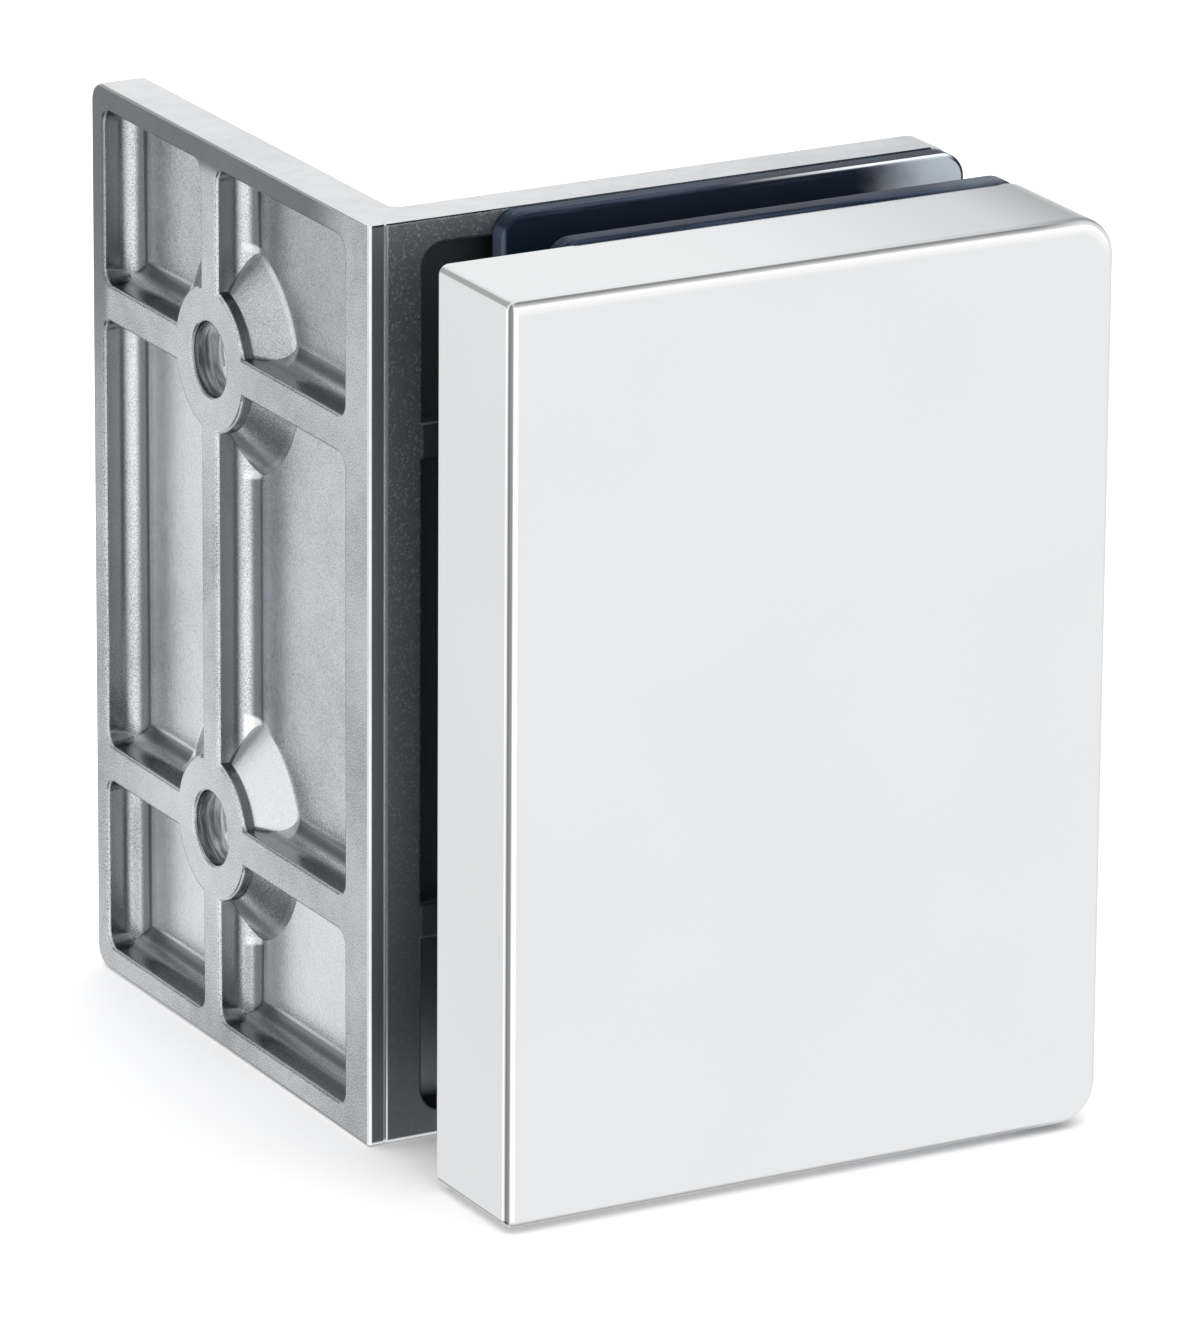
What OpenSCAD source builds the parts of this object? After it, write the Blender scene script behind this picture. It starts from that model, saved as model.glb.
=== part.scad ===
// Wall-to-glass bracket: a cast L that screws to a wall and clamps a glass panel at a right angle.
// Millimetres. The wall is the plane X = 0, +X runs out from the wall along the glass, +Z is up, and the
// front plate faces -Y. The origin is on the wall, midway between the two wall screws.

/* [Wall plate] */
// Height of the bracket
plate_height = 90; // [80:1:120]
// Width of the wall plate, along the wall
plate_width = 58; // [54:0.5:80]
// Thickness of the wall plate
plate_t = 5.1; // [5:0.1:8]
// Radius of the wall plate's two free corners
plate_corner_r = 2; // [1:0.5:6]
// Rounding of the outside corner between the wall plate and the glass leg
outside_r = 0.4; // [0.2:0.1:1.2]
// Distance from the glass leg's front face to the wall screws
hole_offset = 33; // [30:0.5:36]
// Distance between the two wall screws
hole_pitch = 47; // [42:0.5:50]
// Clearance hole for a wall screw
hole_d = 7.2; // [5:0.1:8]
// Width of a wall screw's countersink
sink_d = 11.5; // [11:0.5:14]

/* [Cast ribs] */
// Width of the rim round the wall face
rim_w = 2.4; // [1.5:0.1:3]
// Width of the upright rib
rib_w = 3.4; // [2:0.1:5]
// Width of the level ribs
cross_rib_w = 3.7; // [2:0.1:5]
// Depth of the cast pockets
pocket_depth = 3.9; // [2.5:0.1:4]
// Radius along the pockets' floors
pocket_fillet = 2.4; // [0.5:0.1:2.4]
// Radius of the pockets' corners
pocket_corner_r = 1.4; // [0.5:0.1:2]
// Diameter of the ring round a wall screw
boss_d = 14.4; // [12:0.2:16]
// Height of the ring above its skirt
boss_drop = 1.3; // [0.8:0.1:2]
// Diameter of the skirt where it meets the pocket floor
skirt_d = 23.2; // [18:0.2:26]

/* [Glass leg] */
// Reach of the glass leg from the wall
leg_reach = 62; // [55:0.5:80]
// Thickness of the glass leg
leg_t = 5; // [4:0.1:6]
// Radius of the glass leg's two free corners
leg_corner_r = 2.5; // [1:0.5:6]
// Where the cast pockets of the leg and the front plate start, measured from the wall
clamp_pocket_start = 5.7; // [5:0.1:8]
// Width of the rim round the leg's cast pockets
leg_rim_w = 2.6; // [2:0.1:4]
// Depth of the leg's cast pockets
leg_pocket_depth = 2.5; // [1:0.1:2.5]
// Radius of the leg's pocket corners
leg_pocket_r = 2.2; // [1:0.1:4]
// Radius of the inside corner between the leg and the wall plate
inside_r = 1; // [1:0.5:4]
// Width of the smooth strip beside the wall
strip_w = 1.7; // [1:0.1:3]
// Width and depth of the fine groove that ends the smooth strip
groove = 0.3; // [0.1:0.05:0.4]

/* [Glass and gaskets] */
// Thickness of the glass panel
glass_t = 8; // [6:0.5:12]
// Thickness of a gasket
gasket_t = 2.3; // [1:0.1:3]
// Where the gaskets start, measured from the wall
gasket_start = 12.7; // [10:0.1:16]
// How far the gaskets stay inside the bracket's top and bottom
gasket_inset = 0.1; // [0:0.1:2]
// Radius of the gaskets' corners
gasket_corner_r = 2.5; // [1:0.5:4]

/* [Front plate] */
// Gap between the front plate and the wall
cover_gap = 0.5; // [0:0.1:3]
// How far the front plate reaches past the glass leg
cover_overhang = 2; // [0:0.5:5]
// How far the front plate stays inside the bracket's top and bottom
cover_inset = 0.4; // [0:0.1:1]
// Thickness of the front plate
cover_t = 14; // [12:0.5:18]
// Thickness of the front plate's face
cover_face_t = 3.2; // [2.5:0.1:4]
// Rounding of the front plate's edges
cover_edge_r = 1; // [0.4:0.1:1.5]
// Radius of the front plate's two free corners
cover_corner_r = 4; // [2:0.5:6]
// Width of the ribs inside the front plate
cover_rib_w = 2.6; // [2:0.1:4]

/* [Clamp screws] */
// Distance of the clamp screws from the wall
screw_reach = 37; // [32:0.5:42]
// Distance between the two clamp screws
screw_pitch = 47; // [42:0.5:50]
// Diameter of a clamp screw
screw_d = 6; // [5:0.5:6]
// Diameter of a clamp screw's head
screw_head_d = 12; // [10:0.5:12]
// Width across the flats of the screw's socket
socket_af = 4; // [3:0.5:4]
// Length of thread inside the front plate
thread_length = 8; // [5:0.5:9]
// Clearance round a screw in its holes
screw_clear = 0.3; // [0.1:0.05:0.5]
// Diameter of the cast bosses round a clamp screw
clamp_boss_d = 16; // [14:0.5:18]
// Wall of the sleeve that keeps a screw off the glass
sleeve_wall = 1.1; // [0.8:0.1:2]

/* [Hidden] */
$fn = 96;
eps = 0.01;
round_fn = 32;

half_height = plate_height / 2;
// Places along Y, from the wall plate's far edge to the front plate's face
plate_far_y = plate_width - hole_offset;
leg_front_y = -hole_offset;
leg_back_y = leg_front_y + leg_t;
glass_back_y = leg_front_y - gasket_t;
glass_front_y = glass_back_y - glass_t;
cover_back_y = glass_front_y - gasket_t;
cover_front_y = cover_back_y - cover_t;
// The wall pockets end at the rim, the ribs and the glass leg
pocket_near_y = leg_front_y + leg_t;
pocket_top_z = half_height - rim_w;
// The clamp pockets in the leg and in the front plate share one outline
clamp_pocket_end = leg_reach - leg_rim_w;
clamp_pocket_top_z = half_height - leg_rim_w;
gasket_top_z = half_height - gasket_inset;
cover_reach = leg_reach + cover_overhang;
cover_top_z = half_height - cover_inset;
screw_hole_d = screw_d + 2 * screw_clear;
sink_depth = (sink_d - hole_d) / 2;
screw_head_h = (screw_head_d - screw_d) / 2;
screw_tip_y = cover_back_y - thread_length;
tapped_depth = thread_length + 1.5;
metal = [0.74, 0.75, 0.76];
plated = [0.90, 0.91, 0.92];
navy = [0.07, 0.09, 0.15];
steel = [0.62, 0.63, 0.65];
clear_grey = [0.80, 0.82, 0.84];

// Extrudes a flat shape drawn in Y and Z, from X = x0 over a length along +X
module along_x(x0, length) {
    translate([x0, 0, 0]) rotate([90, 0, 90]) linear_extrude(length) children();
}

// Extrudes a flat shape drawn in X and Z, from Y = y0 over a length along +Y
module along_y(y0, length) {
    translate([0, y0 + length, 0]) rotate([90, 0, 0]) linear_extrude(length) children();
}

// Extrudes a flat shape drawn in X and Y, from Z = z0 over a length along +Z
module along_z(z0, length) {
    translate([0, 0, z0]) linear_extrude(length) children();
}

// Turns a shape made round Z so that its axis runs along +X
module axis_x() {
    rotate([0, 90, 0]) children();
}

// Turns a shape made round Z so that its axis runs along +Y
module axis_y() {
    rotate([-90, 0, 0]) children();
}

// Rectangle from low to high; its corners have radius r_low at the low side and r_high at the high side
module panel(low, high, r_low, r_high) {
    mid = (low.y + high.y) / 2;
    difference() {
        translate(low) square(high - low);
        for (up = [0, 1]) {
            translate([0, mid]) mirror([0, up]) translate([0, -mid]) {
                if (r_low > 0) corner_waste([low.x, low.y], 1, r_low);
                if (r_high > 0) corner_waste([high.x, low.y], -1, r_high);
            }
        }
    }
}

// What a lower corner loses when it is rounded; side is 1 at the low side and -1 at the high side
module corner_waste(corner, side, r) {
    translate(corner) difference() {
        translate([side > 0 ? -1 : -r, -1]) square([r + 1, r + 1]);
        translate([side * r, r]) circle(r);
    }
}

// Both places on the wall where a screw goes in
module at_wall_screws() {
    for (side = [-1, 1]) translate([0, 0, side * hole_pitch / 2]) children();
}

// Both clamp screw axes
module at_clamp_screws() {
    for (side = [-1, 1]) translate([screw_reach, 0, side * screw_pitch / 2]) children();
}

// One cast pocket of the wall face: upright lips, then a round foot down to the floor on all four sides
module wall_pocket(low, high) {
    size = high - low;
    intersection() {
        along_x(-1, pocket_depth + 1) panel(low, high, pocket_corner_r, pocket_corner_r);
        along_y(low.x, size.x) panel([-1, low.y], [pocket_depth, high.y], 0, pocket_fillet);
        along_z(low.y, size.y) panel([-1, low.x], [pocket_depth, high.x], 0, pocket_fillet);
    }
}

// The six pockets between the rim, the upright rib and the two level ribs
module wall_pockets() {
    inner_z = (hole_pitch - cross_rib_w) / 2;
    outer_z = (hole_pitch + cross_rib_w) / 2;
    rows = [[-pocket_top_z, -outer_z], [-inner_z, inner_z], [outer_z, pocket_top_z]];
    columns = [[pocket_near_y, -rib_w / 2], [rib_w / 2, plate_far_y - rim_w]];
    for (c = columns, r = rows) wall_pocket([c[0], r[0]], [c[1], r[1]]);
}

// Ring and sloping skirt that back up a wall screw's countersink
module screw_boss() {
    axis_x() rotate_extrude() polygon([
        [0, 0], [boss_d / 2, 0], [boss_d / 2, boss_drop],
        [skirt_d / 2, pocket_depth], [skirt_d / 2, pocket_depth + 0.2], [0, pocket_depth + 0.2]
    ]);
}

// Straight hole for a wall screw, countersunk on the side away from the wall
module wall_screw_hole() {
    axis_x() {
        translate([0, 0, -1]) cylinder(d = hole_d, h = plate_t + 2);
        translate([0, 0, plate_t - sink_depth]) cylinder(d1 = hole_d, d2 = sink_d, h = sink_depth + eps);
    }
}

// Outline of the cast cells behind a gasket: a panel less the level ribs and the screw bosses
module clamp_cells(level_rib_w, upright_rib_w) {
    difference() {
        panel([clamp_pocket_start, -clamp_pocket_top_z], [clamp_pocket_end, clamp_pocket_top_z],
              leg_pocket_r, leg_pocket_r);
        for (side = [-1, 1])
            translate([0, side * screw_pitch / 2 - level_rib_w / 2])
                square([leg_reach, level_rib_w]);
        if (upright_rib_w > 0)
            translate([screw_reach - upright_rib_w / 2, -half_height])
                square([upright_rib_w, plate_height]);
        for (side = [-1, 1])
            translate([screw_reach, side * screw_pitch / 2]) circle(d = clamp_boss_d);
    }
}

// Hole for a clamp screw through the glass leg; the head beds in a countersink at the back
module clamp_screw_hole() {
    translate([0, leg_front_y - 1, 0]) axis_y() cylinder(d = screw_hole_d, h = leg_t + 2);
    translate([0, leg_back_y - screw_head_h, 0]) axis_y()
        cylinder(d1 = screw_d, d2 = screw_head_d, h = screw_head_h);
    translate([0, leg_back_y, 0]) axis_y() cylinder(d = screw_head_d, h = 1);
}

// Round fillet in the corner behind the leg
module inside_fillet() {
    along_z(-half_height, plate_height) difference() {
        translate([plate_t - eps, leg_back_y - eps]) square(inside_r + eps);
        translate([plate_t + inside_r, leg_back_y + inside_r]) circle(inside_r);
    }
}

// The cast L: wall plate and glass leg in one piece
module wall_bracket() {
    color(metal) difference() {
        union() {
            difference() {
                union() {
                    along_x(0, plate_t)
                        panel([leg_front_y, -half_height], [plate_far_y, half_height], 0, plate_corner_r);
                    along_y(leg_front_y, leg_t)
                        panel([0, -half_height], [leg_reach, half_height], 0, leg_corner_r);
                    inside_fillet();
                }
                wall_pockets();
            }
            at_wall_screws() screw_boss();
        }
        at_wall_screws() wall_screw_hole();
        along_y(leg_front_y - 1, leg_pocket_depth + 1) clamp_cells(cross_rib_w, 0);
        at_clamp_screws() clamp_screw_hole();
        translate([strip_w - groove / 2, leg_front_y - eps, -half_height - 1])
            cube([groove, groove + eps, plate_height + 2]);
        along_z(-half_height - 1, plate_height + 2) corner_waste([0, leg_front_y], 1, outside_r);
    }
}

// Flat gasket with a hole for each clamp screw, from Y = y0
module gasket(y0) {
    difference() {
        along_y(y0, gasket_t)
            panel([gasket_start, -gasket_top_z], [leg_reach, gasket_top_z], gasket_corner_r, gasket_corner_r);
        at_clamp_screws() translate([0, y0 - 1, 0]) axis_y() cylinder(d = screw_hole_d, h = gasket_t + 2);
    }
}

module rear_gasket() {
    color(navy) gasket(glass_back_y);
}

module front_gasket() {
    color(navy) gasket(cover_back_y);
}

// Outside of the front plate: crisp corners at the wall, round ones at the free end, all edges eased
module front_plate_body() {
    r = cover_edge_r;
    top_z = cover_top_z - r;
    free_x = cover_reach - cover_corner_r;
    free_z = cover_top_z - cover_corner_r;
    hull() {
        for (side = [-1, 1]) {
            translate([cover_gap + r, cover_front_y + r, side * top_z]) sphere(r, $fn = round_fn);
            translate([cover_gap + r, cover_back_y, side * top_z]) axis_y()
                translate([0, 0, -r]) cylinder(r = r, h = r, $fn = round_fn);
            translate([free_x, cover_front_y + r, side * free_z]) axis_y()
                rotate_extrude($fn = 2 * round_fn) translate([cover_corner_r - r, 0]) circle(r, $fn = round_fn);
            translate([free_x, cover_back_y, side * free_z]) axis_y()
                translate([0, 0, -r]) cylinder(r = cover_corner_r, h = r, $fn = 2 * round_fn);
        }
    }
}

// Front plate: a cored casting with a tapped boss for each clamp screw
module front_plate() {
    core_depth = cover_t - cover_face_t;
    color(plated) difference() {
        front_plate_body();
        along_y(cover_back_y - core_depth, core_depth + 1) clamp_cells(cover_rib_w, cover_rib_w);
        at_clamp_screws() translate([0, cover_back_y - tapped_depth, 0]) axis_y()
            cylinder(d = screw_d, h = tapped_depth + 1);
    }
}

// One countersunk clamp screw; its head is flush with the back of the glass leg
module clamp_screw() {
    shank_length = leg_back_y - screw_tip_y;
    axis_y() difference() {
        union() {
            translate([0, 0, leg_back_y - shank_length]) cylinder(d = screw_d, h = shank_length);
            translate([0, 0, leg_back_y - screw_head_h])
                cylinder(d1 = screw_d, d2 = screw_head_d, h = screw_head_h);
        }
        translate([0, 0, leg_back_y - screw_head_h * 0.8])
            cylinder(d = socket_af / cos(30), h = screw_head_h, $fn = 6);
    }
}

module clamp_screws() {
    color(steel) at_clamp_screws() clamp_screw();
}

// Sleeve round a clamp screw, as long as the glass is thick
module sleeve() {
    translate([0, glass_front_y, 0]) axis_y() difference() {
        cylinder(d = screw_hole_d + 2 * sleeve_wall, h = glass_t);
        translate([0, 0, -1]) cylinder(d = screw_hole_d, h = glass_t + 2);
    }
}

module upper_sleeve() {
    color(clear_grey) translate([screw_reach, 0, screw_pitch / 2]) sleeve();
}

module lower_sleeve() {
    color(clear_grey) translate([screw_reach, 0, -screw_pitch / 2]) sleeve();
}

wall_bracket();
rear_gasket();
front_gasket();
front_plate();
clamp_screws();
upper_sleeve();
lower_sleeve();
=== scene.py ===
import math

import bmesh
import bpy
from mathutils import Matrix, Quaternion, Vector


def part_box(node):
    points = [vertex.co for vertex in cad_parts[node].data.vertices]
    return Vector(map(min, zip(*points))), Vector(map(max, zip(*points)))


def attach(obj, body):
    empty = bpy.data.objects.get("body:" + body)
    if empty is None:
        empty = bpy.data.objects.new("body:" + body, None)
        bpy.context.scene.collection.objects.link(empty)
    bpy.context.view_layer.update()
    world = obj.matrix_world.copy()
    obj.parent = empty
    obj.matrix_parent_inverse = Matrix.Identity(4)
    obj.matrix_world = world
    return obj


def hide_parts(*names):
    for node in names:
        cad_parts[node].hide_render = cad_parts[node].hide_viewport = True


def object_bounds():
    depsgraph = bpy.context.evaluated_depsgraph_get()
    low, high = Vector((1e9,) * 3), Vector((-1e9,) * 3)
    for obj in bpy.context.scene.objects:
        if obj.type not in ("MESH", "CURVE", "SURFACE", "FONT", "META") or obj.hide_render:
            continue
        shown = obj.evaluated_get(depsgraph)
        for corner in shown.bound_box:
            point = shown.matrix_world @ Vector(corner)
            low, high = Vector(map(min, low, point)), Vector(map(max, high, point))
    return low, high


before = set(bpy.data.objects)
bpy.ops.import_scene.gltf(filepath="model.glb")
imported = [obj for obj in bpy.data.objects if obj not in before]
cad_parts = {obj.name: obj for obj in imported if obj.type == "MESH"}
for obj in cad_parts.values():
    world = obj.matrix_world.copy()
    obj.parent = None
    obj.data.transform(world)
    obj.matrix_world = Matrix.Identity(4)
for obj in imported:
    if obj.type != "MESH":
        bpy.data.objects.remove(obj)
cad_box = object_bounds()

MM = 0.001


def box_mm(node):
    """A node's lowest and highest corners in millimetres."""
    return [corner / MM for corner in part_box(node)]


# Places of the pieces in millimetres, from the frame
BRACKET_HIGH = box_mm("wall_bracket")[1]
COVER_LOW, COVER_HIGH = box_mm("front_plate")
GASKET_LOW, GASKET_HIGH = box_mm("rear_gasket")
SLEEVE_LOW, SLEEVE_HIGH = box_mm("upper_sleeve")
LEG_FACE_Y = GASKET_HIGH.y

# Axes of the clamp screws, which run through the sleeves. The wall screws are at the same heights
SCREW_X = (SLEEVE_LOW.x + SLEEVE_HIGH.x) / 2.0
SCREW_Z = (SLEEVE_LOW.z + SLEEVE_HIGH.z) / 2.0

# Sizes of the casting in millimetres, which its finish follows
PLATE_T = 5.1
POCKET_DEPTH = 3.9
RIB_W = 3.4
CROSS_RIB_W = 3.7
RING_DROP = 1.3
SKIRT_R = 11.6
HOLE_R = 3.6
LEG_T = 5.0
LEG_POCKET_X = 5.7
STRIP_W = 1.7
GROOVE = 0.3

# Radii of the free corners in millimetres
WALL_CORNER_R = 2.0
LEG_CORNER_R = 2.5
COVER_CORNER_R = 4.0
GASKET_CORNER_R = 2.5

# Turning rings on the screws in radians per millimetre, out from the axis and along it
RING_RATE_OUT = 26.0
RING_RATE_ALONG = 9.0

# Widths of the eased edges in millimetres
CAST_EDGE = 0.4
PLATED_EDGE = 0.3
RUBBER_EDGE = 0.4
STEEL_EDGE = 0.12
SLEEVE_EDGE = 0.2

# Reach in millimetres round a clamp screw and round a countersink where edges stay crisp
CLAMP_HOLE_REACH = 5.0
SINK_REACH = 6.2

# Meshes: merging distance in millimetres, and turns in degrees
WELD = 0.002
FLAT_TURN = 0.8
SMOOTH_TURN = 32.0

# White, and the colours of the packing with its painted light, highlight and reflection blues, the
# plastic and the floor
WHITE = (1.0, 1.0, 1.0, 1.0)
DEEP_BLUE = (0.004, 0.008, 0.015, 1.0)
DARK_BLUE = (0.009, 0.016, 0.030, 1.0)
LIT_END_BLUE = (0.045, 0.060, 0.090, 1.0)
SCUFFED_BLUE = (0.10, 0.13, 0.20, 1.0)
EDGE_HIGHLIGHT_BLUE = (0.12, 0.145, 0.20, 1.0)
END_REFLECTION_BLUE = (0.55, 0.62, 0.70, 1.0)
RIM_REFLECTION_BLUE = (0.80, 0.84, 0.88, 1.0)
MILKY_GREY = (0.62, 0.64, 0.66, 1.0)
MILKY_WHITE = (0.80, 0.82, 0.83, 1.0)
FLOOR_GREY = (0.93, 0.93, 0.935, 1.0)
FLOOR_WHITE = (0.95, 0.95, 0.955, 1.0)

# Stage in metres, degrees and watts
FLOOR_SIZE = 8.0
FLOOR_GAP = 0.0002
LAMP_PLACE = (0.1, -0.2, 1.3)
LAMP_SIZE = 2.6
LAMP_POWER = 26.0
CAMERA_AIM = (0.0231, -0.03466, 0.00013)
CAMERA_DISTANCE = 1.013
CAMERA_TURN = -28.70
CAMERA_TILT = 18.24
CAMERA_ROLL = 0.41
SENSOR_MM = 36.0
LENS_MM = 294.4


class Value:
    """A number or vector in a node tree. Arithmetic on numbers adds Math nodes."""

    def __init__(self, nodes, socket):
        self.nodes = nodes
        self.socket = socket

    def maths(self, operation, first, second=0.0):
        return self.nodes.add("ShaderNodeMath", {"operation": operation}, {0: first, 1: second})

    def __add__(self, other):
        return self.maths("ADD", self, other)

    def __radd__(self, other):
        return self.maths("ADD", other, self)

    def __sub__(self, other):
        return self.maths("SUBTRACT", self, other)

    def __rsub__(self, other):
        return self.maths("SUBTRACT", other, self)

    def __mul__(self, other):
        return self.maths("MULTIPLY", self, other)

    def __rmul__(self, other):
        return self.maths("MULTIPLY", other, self)

    def __pow__(self, other):
        return self.maths("POWER", self, other)

    def __abs__(self):
        return self.maths("ABSOLUTE", self)

    def most(self, other):
        return self.maths("MAXIMUM", self, other)

    def root(self):
        return self.maths("SQRT", self)

    def sine(self):
        return self.maths("SINE", self)

    def above(self, low, high):
        """0 below low, 1 above high, smooth between them."""
        return self.nodes.add("ShaderNodeMapRange", {"interpolation_type": "SMOOTHSTEP"},
                              {"Value": self, "From Min": low, "From Max": high})

    def below(self, low, high):
        """1 below low, 0 above high, smooth between them."""
        return 1.0 - self.above(low, high)


class Nodes:
    """A node tree that is being filled."""

    def __init__(self, tree):
        self.tree = tree

    def add(self, kind, settings=None, sockets=None, output=0):
        """A new node's output. Settings are set first, and then sockets get their values or links."""
        made = self.tree.nodes.new(kind)
        for name, setting in (settings or {}).items():
            setattr(made, name, setting)
        for name, value in (sockets or {}).items():
            self.feed(made.inputs[name], value)
        return Value(self, made.outputs[output])

    def feed(self, socket, value):
        if isinstance(value, Value):
            self.tree.links.new(value.socket, socket)
        else:
            socket.default_value = value

    def blend(self, share, first, second):
        """A colour between two colours."""
        return self.add("ShaderNodeMix", {"data_type": "RGBA"}, {0: share, 6: first, 7: second},
                        output=2)

    def parts(self, vector):
        """A vector's three parts."""
        return [self.add("ShaderNodeSeparateXYZ", None, {0: vector}, output=i) for i in range(3)]

    def point(self):
        """The point on the object in metres."""
        return self.add("ShaderNodeTexCoord", output="Object")

    def place(self):
        """The point on the object in metres, and its three parts in millimetres."""
        point = self.point()
        return point, [part * (1.0 / MM) for part in self.parts(point)]

    def stretched(self, point, scale):
        return self.add("ShaderNodeMapping", None, {"Vector": point, "Scale": scale})

    def grain(self, point, scale, detail=2.0, roughness=0.5):
        return self.add("ShaderNodeTexNoise", None,
                        {"Vector": point, "Scale": scale, "Detail": detail, "Roughness": roughness})


class Finish(Nodes):
    """A surface finish: a material whose shader's sockets are fed by name."""

    def __init__(self, name, **fixed):
        self.material = bpy.data.materials.new(name)
        self.material.use_nodes = True
        super().__init__(self.material.node_tree)
        self.shader = self.tree.nodes["Principled BSDF"]
        self.set(**fixed)

    def set(self, **values):
        for name, value in values.items():
            self.feed(self.shader.inputs[name.replace("_", " ")], value)

    def relief(self, height, depth, strength):
        """A fine relief, with its depth in millimetres."""
        self.set(Normal=self.add("ShaderNodeBump", None,
                                 {"Strength": strength, "Distance": depth * MM, "Height": height}))


def grey(level, tint):
    """A metal grey; tint leans it towards blue."""
    return (level * (1.0 - tint), level, level * (1.0 + tint), 1.0)


def inset(along, z, end, top, corner_r):
    """How far a point lies inside a plate's outline with round corners at its free end."""
    past_end = (along - (end - corner_r)).most(0.0)
    past_top = (abs(z) - (top - corner_r)).most(0.0)
    return corner_r - (past_end ** 2.0 + past_top ** 2.0).root()


def on_ribs(x):
    """1 on the raised ribs, rings and rims of the wall face."""
    return x.below(0.1, 0.4)


def on_floors(x):
    """1 on the floors of the wall face's pockets."""
    return x.above(POCKET_DEPTH - 0.15, POCKET_DEPTH - 0.01)


def on_skirts(x, y, z, from_hole):
    """1 on the cones round the wall screws' rings, between the ribs."""
    off_rib = abs(y).above(RIB_W / 2.0 + 0.2, RIB_W / 2.0 + 0.4)
    off_cross_rib = abs(abs(z) - SCREW_Z).above(CROSS_RIB_W / 2.0 + 0.15, CROSS_RIB_W / 2.0 + 0.35)
    cone = x.above(RING_DROP - 0.1, RING_DROP + 0.05) * from_hole.below(SKIRT_R + 0.1, SKIRT_R + 0.5)
    return cone * off_rib * off_cross_rib


def rib_shade(y, z):
    """How dark the ribs are: a little all over, and most on the top and far rims, where it is painted
    shade.
    """
    top_rim = z.above(BRACKET_HIGH.z - 3.5, BRACKET_HIGH.z - 2.0)
    top_rim = top_rim * y.above(LEG_FACE_Y + 2.0, LEG_FACE_Y + 13.0)
    far_rim = y.above(BRACKET_HIGH.y - 4.0, BRACKET_HIGH.y - 2.4) * z.above(-5.0, 35.0)
    return 0.1 + top_rim.most(far_rim) * 0.75


def pocket_shade(x, y, z, skirt):
    """How much painted shade the pockets get: on their upright walls and round feet, and on the high near
    floor.
    """
    wall = x.above(0.15, 0.5) * x.below(1.9, 2.9)
    foot = x.above(3.0, 3.5) * x.below(POCKET_DEPTH - 0.07, POCKET_DEPTH - 0.01)
    low_band = x.above(1.9, 2.9) * x.below(3.0, 3.5) * z.below(-30.0, -26.0)
    high_floor = on_floors(x) * z.above(24.0, 28.0) * y.below(-3.0, 0.0)
    sides = (wall.most(foot) * 0.8).most(low_band * 0.4) * (1.0 - skirt)
    return sides.most(high_floor * 0.25)


def pale_and_lit_share(x, y, z, from_hole, skirt):
    """How pale the ribs are near the holes, and how much painted light the far floors, the low floors and
    the skirts' feet get.
    """
    near_hole = on_ribs(x) * from_hole.below(4.0, 20.0)
    far_floor = on_floors(x) * y.above(0.0, 3.0) * z.below(20.0, 24.0)
    low_floor = on_floors(x) * z.below(-28.0, -24.0)
    skirt_foot = skirt * x.below(POCKET_DEPTH - 0.06, POCKET_DEPTH - 0.01)
    skirt_foot = skirt_foot * from_hole.above(SKIRT_R - 0.7, SKIRT_R - 0.3)
    floors = (far_floor * 0.6).most(low_floor * 0.75)
    return (near_hole * 0.45).most(floors).most(skirt_foot * 0.6)


def cast_wall_colour(finish, x, y, z, tone, from_hole):
    """The ribbed face: pale grain, with painted shade on the rims and in the pockets, painted light on
    some floors and feet, and a painted highlight on the skirt above the lower hole.
    """
    ribs = on_ribs(x)
    skirt = on_skirts(x, y, z, from_hole)
    # A painted highlight on the skirt above the lower hole
    skirt_highlight = skirt * (z + SCREW_Z).above(1.5, 2.5) * z.below(-6.0, -4.0)
    grain = tone.above(0.30 + ribs * 0.10, 0.62 - ribs * 0.05)
    raw = finish.blend(grain, grey(0.36, 0.05), grey(0.74, 0.045))
    # A paler copy of the grain, laid on the far and low floors and the skirts' feet as painted light, and
    # on the ribs near the holes
    pale = finish.blend(grain, grey(0.74, 0.035), grey(0.97, 0.03))
    # Painted shade on the ribs, most on the top and far rims
    colour = finish.blend(ribs * rib_shade(y, z), raw, grey(0.10, 0.06))
    colour = finish.blend(pale_and_lit_share(x, y, z, from_hole, skirt).most(skirt_highlight), colour, pale)
    colour = finish.blend(skirt_highlight * 0.35, colour, WHITE)
    # Painted shade in the pockets
    return finish.blend(pocket_shade(x, y, z, skirt), colour, grey(0.13, 0.06))


def cast_leg_colour(finish, x, y, z, sparkle):
    """The glass face: dark, with bright grains that thin out downwards into painted shade, more painted
    shade towards its ends, painted shade in its recess and a painted highlight along the groove's lip.
    """
    top = BRACKET_HIGH.z
    strip = x.below(STRIP_W, STRIP_W + 0.12)
    # A painted highlight along the lip beside the groove
    lip_highlight = x.above(STRIP_W + 0.12, STRIP_W + 0.16) * x.below(STRIP_W + GROOVE, STRIP_W + GROOVE + 0.06)
    # Painted shade in the recess behind the gasket
    sunk = (y - LEG_FACE_Y).above(0.3, 1.2).most(abs(z).below(top - 7.0, top - 6.6))
    shaded_recess = x.above(LEG_POCKET_X - 0.1, LEG_POCKET_X + 0.1) * sunk
    # Painted shade towards the bottom, and less towards the top
    ends = z.below(1.0 - top, -8.0) * 0.9 + z.above(8.0, top - 1.0) * 0.35
    # Bright grains, thinned out downwards as painted shade
    grains = sparkle.above(0.52, 0.70) * (0.3 + z.above(-top, top) * 0.6)
    colour = finish.blend(grains, grey(0.48, 0.07), grey(0.97, 0.04))
    colour = finish.blend(strip, colour, grey(0.46, 0.06))
    colour = finish.blend(ends, colour, grey(0.06, 0.06))
    colour = finish.blend(lip_highlight, colour, grey(0.9, 0.02))
    return finish.blend(shaded_recess, colour, grey(0.20, 0.06))


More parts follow.
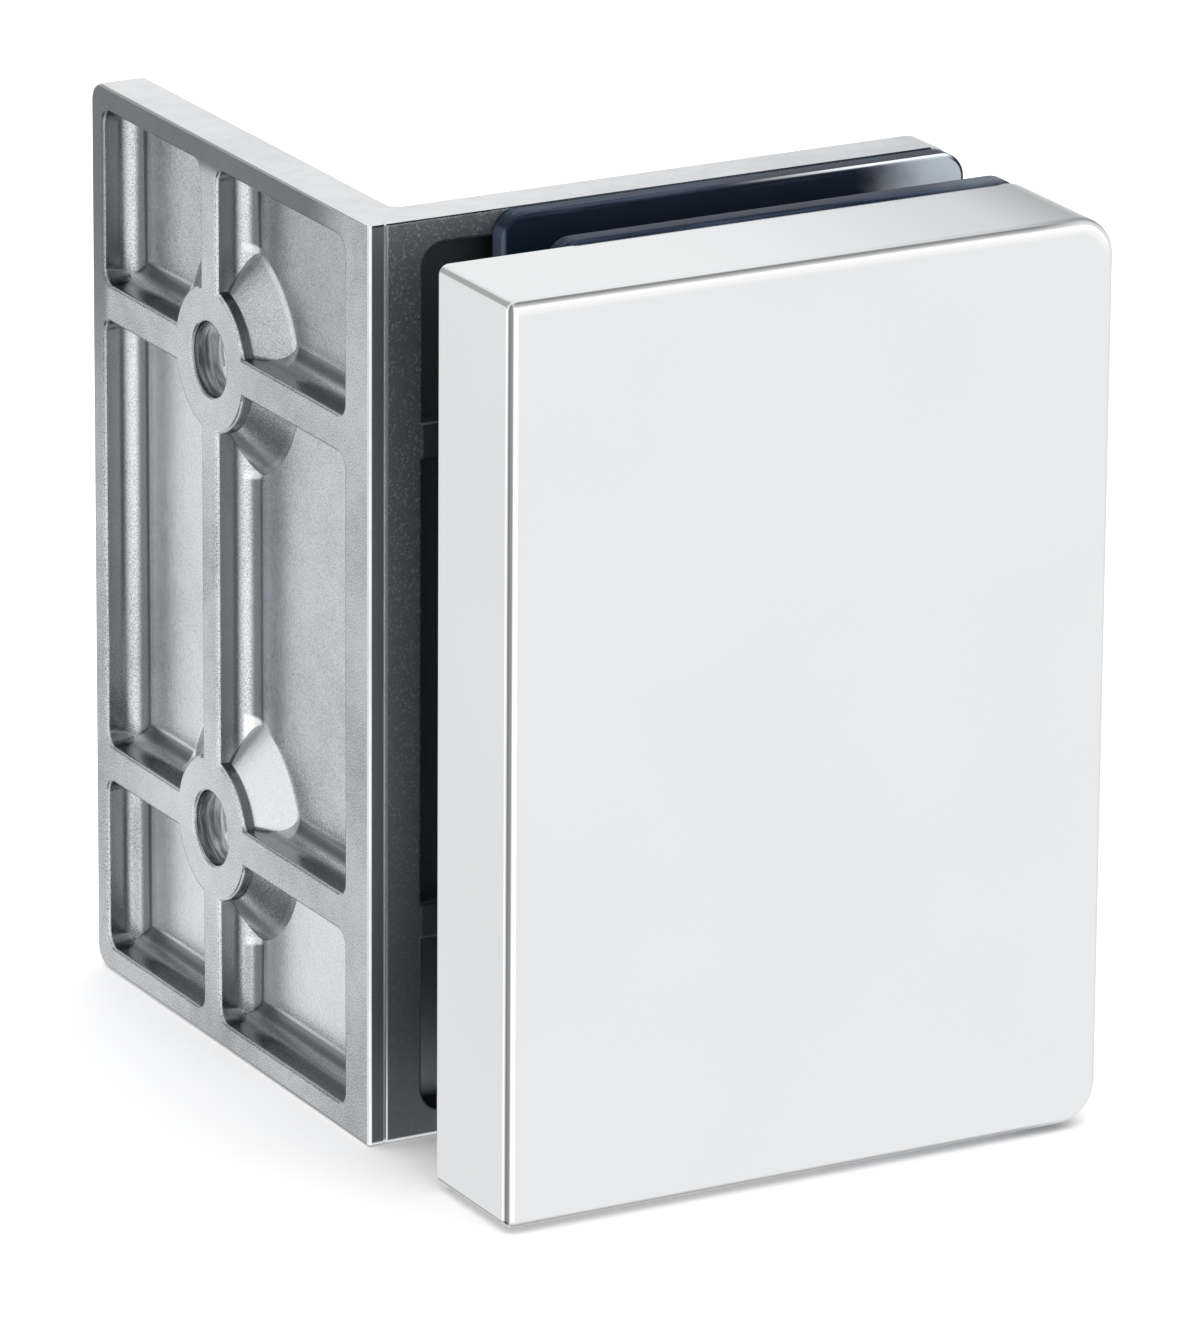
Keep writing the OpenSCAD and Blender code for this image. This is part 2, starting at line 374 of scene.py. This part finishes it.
def raw_sides(x, y, z):
    """1 on the casting's raw wall side, and 1 on its raw glass side."""
    leg_back_y = LEG_FACE_Y + LEG_T
    in_plate = inset(y, z, BRACKET_HIGH.y, BRACKET_HIGH.z, WALL_CORNER_R).above(0.1, 0.3)
    in_leg = inset(x, z, BRACKET_HIGH.x, BRACKET_HIGH.z, LEG_CORNER_R).above(0.1, 0.3)
    wall_side = x.below(PLATE_T - 0.7, PLATE_T - 0.5) * in_plate
    wall_side = wall_side * y.above(LEG_FACE_Y + 0.25, LEG_FACE_Y + 0.4)
    glass_side = y.below(leg_back_y - 1.6, leg_back_y - 1.4) * x.above(0.3, 0.4) * in_leg
    return wall_side, glass_side * (1.0 - wall_side)


def cast_and_plated():
    """Raw grainy casting on the wall side and the glass side, satin plating on the outer faces, with
    painted shade towards the leg's end.
    """
    finish = Finish("cast_and_plated", Metallic=1.0)
    point, (x, y, z) = finish.place()
    wall_side, glass_side = raw_sides(x, y, z)
    plated = 1.0 - wall_side.most(glass_side)
    from_hole = (y ** 2.0 + (abs(z) - SCREW_Z) ** 2.0).root()
    bore = x.below(PLATE_T - 0.2, PLATE_T - 0.1) * from_hole.below(HOLE_R + 0.05, HOLE_R + 0.2)
    fine = finish.grain(point, 7000.0, roughness=0.6)
    cloud = finish.grain(point, 420.0, detail=4.0, roughness=0.6)
    broad = finish.grain(point, 55.0, detail=3.0, roughness=0.55)
    sparkle = finish.grain(point, 4200.0, roughness=0.6)
    streak = finish.grain(finish.stretched(point, (1700.0, 200.0, 200.0)), 1.0, detail=3.0, roughness=0.6)
    tone = broad * 0.25 + cloud * 0.12 + fine * 0.63
    # Satin tone that differs at random, plus painted shade towards the leg's end
    satin = (broad * 0.6 + cloud * 0.4).above(0.3, 0.7) * 0.5 + x.above(12.0, 70.0) * 0.6
    colour = finish.blend(satin, grey(0.82, 0.012), grey(0.53, 0.05))
    colour = finish.blend(wall_side, colour, cast_wall_colour(finish, x, y, z, tone, from_hole))
    colour = finish.blend(glass_side, colour, cast_leg_colour(finish, x, y, z, sparkle))
    bored = finish.blend(streak.above(0.36, 0.72), grey(0.10, 0.05), grey(0.50, 0.04))
    finish.set(Base_Color=finish.blend(bore * 0.9, colour, bored))
    wall_roughness = 0.13 + cloud * 0.06 + fine * 0.10
    leg_roughness = 0.40 + fine * 0.12
    plated_roughness = 0.12 + broad * 0.06 + fine * 0.05
    raw_roughness = wall_side * wall_roughness + glass_side * leg_roughness
    finish.set(Roughness=raw_roughness + plated * plated_roughness)
    grainy = wall_side * 0.6 + glass_side * x.above(STRIP_W, STRIP_W + 0.12) * 1.2
    finish.relief(grainy * (fine + cloud * 0.15) + 0.1 * (fine + cloud), 0.06, 0.32)
    return finish.material


def polished_plating():
    """Bright plating on the front plate, a little rougher along its rounded edges, with painted dark
    reflections on them, a painted highlight under the top edge and painted shade towards its far end.
    """
    finish = Finish("polished_plating", Metallic=1.0)
    point, (x, y, z) = finish.place()
    broad = finish.grain(point, 30.0)
    fine = finish.grain(finish.stretched(point, (140.0, 900.0, 2600.0)), 1.0, detail=3.0, roughness=0.6)
    specks = finish.grain(point, 1300.0, roughness=0.6).above(0.68, 0.8)
    end, top = COVER_HIGH.x, COVER_HIGH.z
    from_rim = inset(x, z, end, top, COVER_CORNER_R)
    from_front = y - COVER_LOW.y
    # Painted dark reflection lines along the left and front rounded edges
    left_edge = (x - COVER_LOW.x).below(0.36, 0.5) * from_front.below(0.5, 0.62)
    rim_edge = from_rim.below(0.2, 0.75) * from_front.below(0.36, 0.5)
    dark_reflection_line = left_edge.most(rim_edge * (1.0 - 0.75 * x.above(end - 9.0, end - 2.0)))
    # A painted highlight under the top front edge
    highlight_under_edge = from_rim.below(1.0, 1.6) * from_front.below(0.05, 0.2) * z.above(top - 4.5, top - 1.8)
    # Painted shade on the top and bottom towards the far end, darkest on its corners
    on_end = abs(z).above(top - 5.0, top - 2.0) * from_front.above(0.3, 0.5)
    end_shade = x.above(20.0, 70.0) * on_end
    corner_shade = x.above(end - 12.0, end - 1.0) * on_end
    colour = finish.blend(broad, grey(0.85, 0.012), grey(0.91, 0.012))
    colour = finish.blend(highlight_under_edge, colour, WHITE)
    colour = finish.blend(end_shade, colour, grey(0.55, 0.05))
    colour = finish.blend(corner_shade * 0.75, colour, grey(0.22, 0.04))
    finish.set(Base_Color=finish.blend(dark_reflection_line, colour, grey(0.24, 0.01)))
    finish.set(Roughness=0.07 + broad * 0.035 + fine * 0.025 + dark_reflection_line * 0.08 + specks * 0.1)
    finish.relief(fine, 0.004, 0.2)
    return finish.material


def free_end_reflection(x, z, from_face, cloud):
    """Where a painted reflection lies on a gasket's free end: 1 on its face, and 1 on the rim behind it,
    both inside a dark outline.
    """
    end = GASKET_HIGH.x
    outline = inset(x, z, end, GASKET_HIGH.z, GASKET_CORNER_R).below(0.32, 0.45)
    inside = 1.0 - outline * x.above(end - 2.2, end - 1.0)
    face = (x + cloud * 5.0).above(end - 9.0, end - 1.0) * from_face.below(0.04, 0.1)
    rim = (x + cloud * 4.0).above(end - 26.0, end - 6.0)
    rim = rim * from_face.above(0.03, 0.1) * from_face.below(0.26, 0.36)
    return face * inside, rim * inside


def gasket_rubber(name, reflection_share):
    """Dense dark blue packing with scuffed edges, painted light on the end by the wall and along the top
    and bottom, and a paler free end from a painted reflection.
    """
    finish = Finish(name, IOR=1.5, Specular_IOR_Level=0.04)
    point, (x, y, z) = finish.place()
    streak = finish.grain(finish.stretched(point, (60.0, 2600.0, 2600.0)), 1.0, detail=3.0, roughness=0.6)
    cloud = finish.grain(point, 160.0, detail=3.0, roughness=0.6)
    top = GASKET_HIGH.z
    from_face = y - GASKET_LOW.y
    level_edge = abs(z).above(top - 0.9, top - 0.1)
    scuff = (level_edge * streak.above(0.42, 0.75)).most(streak.above(0.66, 0.9) * 0.25)
    near_end = x.below(GASKET_LOW.x + 0.1, GASKET_LOW.x + 0.5)
    # A painted highlight along the face's edge at the end by the wall
    end_edge_highlight = near_end * from_face.below(0.2, 0.45)
    # Painted light on the end by the wall, and faintly along the top and bottom
    lit_end_and_top = near_end.most(abs(z).above(top - 4.0, top - 0.3) * 0.12)
    # A painted reflection on the free end's face and the rim behind it
    end_face, end_rim = free_end_reflection(x, z, from_face, cloud)
    colour = finish.blend(cloud, DEEP_BLUE, DARK_BLUE)
    colour = finish.blend(scuff * 0.4, colour, SCUFFED_BLUE)
    colour = finish.blend(lit_end_and_top, colour, LIT_END_BLUE)
    colour = finish.blend(end_edge_highlight * 0.6, colour, EDGE_HIGHLIGHT_BLUE)
    colour = finish.blend(end_face * reflection_share, colour, END_REFLECTION_BLUE)
    finish.set(Base_Color=finish.blend(end_rim * reflection_share, colour, RIM_REFLECTION_BLUE))
    finish.set(Roughness=0.22 + cloud * 0.12 + scuff * 0.2)
    finish.relief(streak * 0.6 + cloud * 0.4, 0.04, 0.2)
    return finish.material


def turned_steel():
    """Plain steel with turning rings round each screw's axis."""
    finish = Finish("turned_steel", Metallic=1.0)
    point, (x, y, z) = finish.place()
    from_axis = ((x - SCREW_X) ** 2.0 + (abs(z) - SCREW_Z) ** 2.0).root()
    rings = (from_axis * RING_RATE_OUT + y * RING_RATE_ALONG).sine() * 0.5 + 0.5
    cloud = finish.grain(point, 500.0, detail=3.0, roughness=0.55)
    finish.set(Base_Color=finish.blend(cloud * 0.6 + rings * 0.3, grey(0.46, 0.01), grey(0.66, 0.01)))
    finish.set(Roughness=0.24 + cloud * 0.12 + rings * 0.06)
    finish.relief(rings * 0.5 + cloud * 0.4, 0.03, 0.3)
    return finish.material


def sleeve_plastic():
    """Milky plastic with a faint moulded mottle."""
    finish = Finish("sleeve_plastic", Transmission_Weight=0.25, IOR=1.5)
    cloud = finish.grain(finish.point(), 320.0, detail=3.0, roughness=0.55)
    finish.set(Base_Color=finish.blend(cloud, MILKY_GREY, MILKY_WHITE))
    finish.set(Roughness=0.3 + cloud * 0.15)
    finish.relief(cloud, 0.05, 0.2)
    return finish.material


def by_clamp_screw(middle):
    """Whether a point is at the hole of a clamp screw, whose edges stay crisp."""
    return math.hypot(middle.x / MM - SCREW_X, abs(middle.z) / MM - SCREW_Z) < CLAMP_HOLE_REACH


def crisp_on_bracket(middle):
    """Whether a point is at a clamp hole, a countersink, the leg's groove or an end of its glass face."""
    x, y, z = middle / MM
    in_sink = x > PLATE_T - 1.0 and math.hypot(y, abs(z) - SCREW_Z) < SINK_REACH
    on_glass_face = abs(y - LEG_FACE_Y) < 2.0 * GROOVE
    at_groove = on_glass_face and abs(x - STRIP_W) < GROOVE
    at_end = on_glass_face and abs(z) > BRACKET_HIGH.z - 0.05
    return by_clamp_screw(middle) or in_sink or at_groove or at_end


def select_sharp_edges(piece, angle, crisp):
    """Selects the outward edges that turn by more than an angle, apart from those that stay crisp."""
    bpy.ops.mesh.select_mode(type="EDGE")
    bpy.ops.mesh.select_all(action="DESELECT")
    mesh = bmesh.from_edit_mesh(piece.data)
    for edge in mesh.edges:
        middle = (edge.verts[0].co + edge.verts[1].co) / 2.0
        sharp = edge.calc_face_angle(0.0) > math.radians(angle)
        edge.select = sharp and edge.is_convex and not (crisp and crisp(middle))
        edge.smooth = edge.select or not sharp
    bmesh.update_edit_mesh(piece.data)


def ease_edges(piece, edge, steps, angle, crisp):
    """Merges the active piece's triangles into whole faces and rounds its sharp edges."""
    bpy.ops.object.mode_set(mode="EDIT")
    bpy.ops.mesh.select_all(action="SELECT")
    bpy.ops.mesh.remove_doubles(threshold=WELD * MM)
    bpy.ops.mesh.dissolve_limited(angle_limit=math.radians(FLAT_TURN))
    select_sharp_edges(piece, angle, crisp)
    bpy.ops.mesh.bevel(offset=edge * MM, segments=steps, affect="EDGES", clamp_overlap=False,
                       miter_outer="ARC", loop_slide=False)
    bpy.ops.mesh.select_all(action="SELECT")
    bpy.ops.mesh.remove_doubles(threshold=WELD * MM)
    bpy.ops.mesh.dissolve_degenerate(threshold=WELD * MM)
    bpy.ops.object.mode_set(mode="OBJECT")


def shade_smoothly(piece):
    """Shades the active piece smoothly over its rounded edges, with its large faces flat."""
    bpy.ops.object.shade_smooth_by_angle(angle=math.radians(SMOOTH_TURN))
    flat_faces = piece.modifiers.new("flat_faces", "WEIGHTED_NORMAL")
    flat_faces.keep_sharp = True
    bpy.ops.object.modifier_apply(modifier=flat_faces.name)


def eased(node, name, edge, material, steps=3, angle=28.0, crisp=None):
    """A copy of a CAD node with its edges eased and its finish on, which stands for the node."""
    piece = bpy.data.objects.new(name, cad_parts[node].data.copy())
    bpy.context.scene.collection.objects.link(piece)
    bpy.ops.object.select_all(action="DESELECT")
    piece.select_set(True)
    bpy.context.view_layer.objects.active = piece
    ease_edges(piece, edge, steps, angle, crisp)
    shade_smoothly(piece)
    piece.data.materials.clear()
    piece.data.materials.append(material)
    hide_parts(node)
    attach(piece, "root")


def pale_floor():
    """A plain pale floor under the bracket."""
    bpy.ops.object.select_all(action="DESELECT")
    bpy.ops.mesh.primitive_plane_add(size=FLOOR_SIZE, location=(0.0, 0.0, cad_box[0].z - FLOOR_GAP))
    floor = bpy.context.active_object
    floor.name = "pale_floor"
    finish = Finish("pale_floor", Roughness=0.7, Specular_IOR_Level=0.1)
    finish.set(Base_Color=finish.blend(finish.grain(finish.point(), 3.0), FLOOR_GREY, FLOOR_WHITE))
    floor.data.materials.append(finish.material)
    floor.visible_glossy = False


def card(turn, lift, left, right, low, high, soft=4.0):
    """1 on a card between two bearings and two heights in degrees, with soft edges."""
    sides = turn.above(left - soft, left + soft) * turn.below(right - soft, right + soft)
    return sides * lift.above(low - soft, low + soft) * lift.below(high - soft, high + soft)


def studio_level(sky):
    """How bright the studio is by bearing, from the front towards the right, and by height."""
    across, along, up = sky.parts(sky.add("ShaderNodeTexCoord", output="Generated"))
    turn = across.maths("ARCTAN2", across, along * -1.0) * math.degrees(1.0)
    lift = up.maths("ARCSINE", up) * math.degrees(1.0)
    dark_behind = abs(turn).above(163.0, 169.0) * lift.above(-55.0, -45.0) * lift.below(-8.0, -2.0)
    dark_panel = card(turn, lift, -166.0, -126.0, 4.0, 50.0)
    dark_low_panel = card(turn, lift, -140.0, -82.0, -62.0, -34.0)
    soft_box = card(turn, lift, -76.0, 12.0, -38.0, 26.0, soft=5.0)
    left_strip = card(turn, lift, -140.0, -112.0, -28.0, -6.0)
    right_strip = card(turn, lift, -8.0, 62.0, -4.0, 24.0)
    level = 0.94 - 0.09 * turn.below(-150.0, 0.0)
    level = level * (1.0 - 0.50 * dark_behind)
    level = level * (1.0 - 0.50 * dark_panel)
    level = level * (1.0 - 0.80 * dark_low_panel)
    return level + 0.30 * soft_box + 0.30 * left_strip + 0.30 * right_strip


def studio_light():
    """A white studio with a soft box by the camera and dark panels behind, and a lamp overhead."""
    world = bpy.data.worlds.new("white_studio")
    world.use_nodes = True
    bpy.context.scene.world = world
    sky = Nodes(world.node_tree)
    back = world.node_tree.nodes["Background"]
    sky.feed(back.inputs["Color"], WHITE)
    sky.feed(back.inputs["Strength"], studio_level(sky))
    bpy.ops.object.light_add(type="AREA", location=LAMP_PLACE)
    lamp = bpy.context.active_object
    lamp.data.size = LAMP_SIZE
    lamp.data.energy = LAMP_POWER
    lamp.visible_glossy = False


def photo_camera():
    """A long lens at the photograph's angle."""
    turn, tilt = math.radians(CAMERA_TURN), math.radians(CAMERA_TILT)
    back = Vector((math.sin(turn) * math.cos(tilt), -math.cos(turn) * math.cos(tilt), math.sin(tilt)))
    bpy.ops.object.camera_add(location=Vector(CAMERA_AIM) + back * CAMERA_DISTANCE)
    camera = bpy.context.active_object
    roll = Quaternion((0.0, 0.0, 1.0), math.radians(CAMERA_ROLL))
    camera.rotation_mode = "QUATERNION"
    camera.rotation_quaternion = (-back).to_track_quat("-Z", "Y") @ roll
    camera.data.sensor_width = SENSOR_MM
    camera.data.lens = LENS_MM
    bpy.context.scene.camera = camera


# How strongly each gasket's free end takes its painted reflection
rear_rubber = gasket_rubber("rear_rubber", reflection_share=0.85)
front_rubber = gasket_rubber("front_rubber", reflection_share=0.12)
milky_plastic = sleeve_plastic()
eased("wall_bracket", "cast_wall_bracket", CAST_EDGE, cast_and_plated(),
      angle=20.0, crisp=crisp_on_bracket)
eased("front_plate", "plated_front_plate", PLATED_EDGE, polished_plating(),
      angle=50.0, crisp=by_clamp_screw)
eased("rear_gasket", "rubber_rear_gasket", RUBBER_EDGE, rear_rubber, crisp=by_clamp_screw)
eased("front_gasket", "rubber_front_gasket", RUBBER_EDGE, front_rubber, crisp=by_clamp_screw)
eased("clamp_screws", "steel_clamp_screws", STEEL_EDGE, turned_steel(), steps=2)
eased("upper_sleeve", "plastic_upper_sleeve", SLEEVE_EDGE, milky_plastic, steps=2)
eased("lower_sleeve", "plastic_lower_sleeve", SLEEVE_EDGE, milky_plastic, steps=2)

pale_floor()
studio_light()
photo_camera()
bpy.context.scene.view_settings.view_transform = "Standard"
